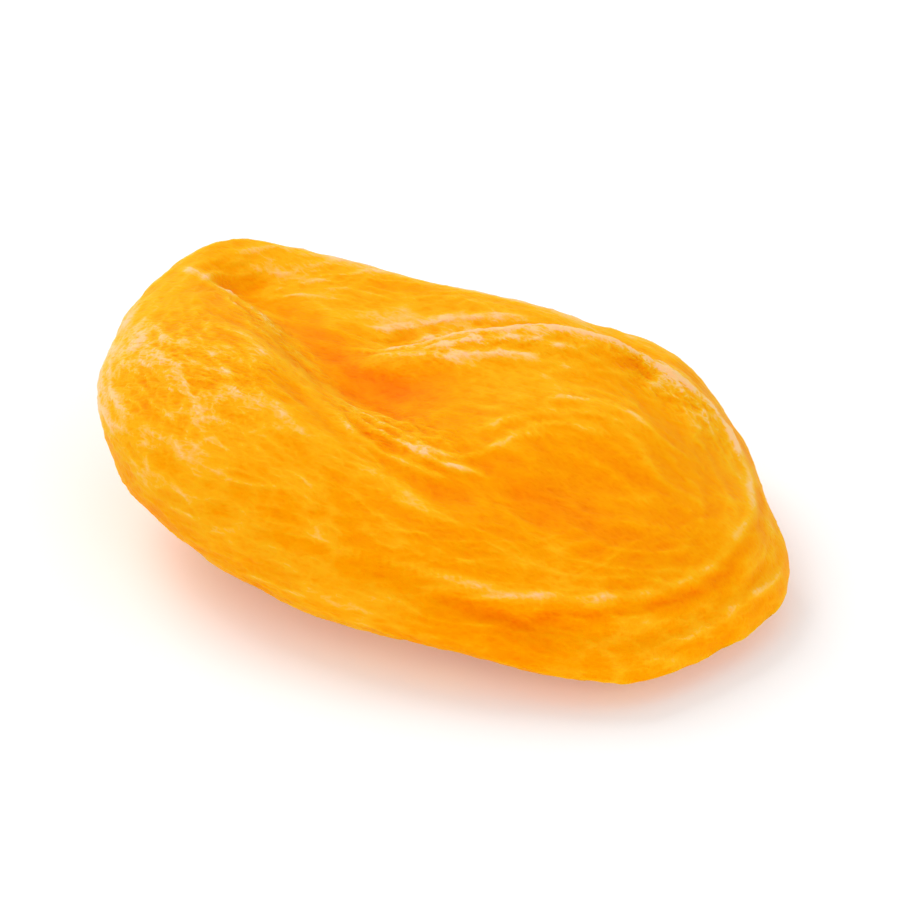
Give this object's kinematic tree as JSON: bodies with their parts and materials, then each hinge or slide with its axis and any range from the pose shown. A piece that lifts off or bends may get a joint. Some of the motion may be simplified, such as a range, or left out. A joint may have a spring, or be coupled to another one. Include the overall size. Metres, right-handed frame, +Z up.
{
  "type": "dried apricot",
  "caption": "Whole dried apricot, pitted and pressed flat, with a hollow and folds on top and a small flat spot below.",
  "frame": {"origin": "on the surface the fruit rests on, below the middle of its box", "axes": "+X along the fruit towards its thin, pressed end, +Y across it to the far side, +Z up"},
  "size_m": [0.0428, 0.0308, 0.0124],
  "materials": {
    "flesh": "satin"
  },
  "bodies": {
    "root": {"dried_apricot": "flesh"}
  },
  "joints": []
}
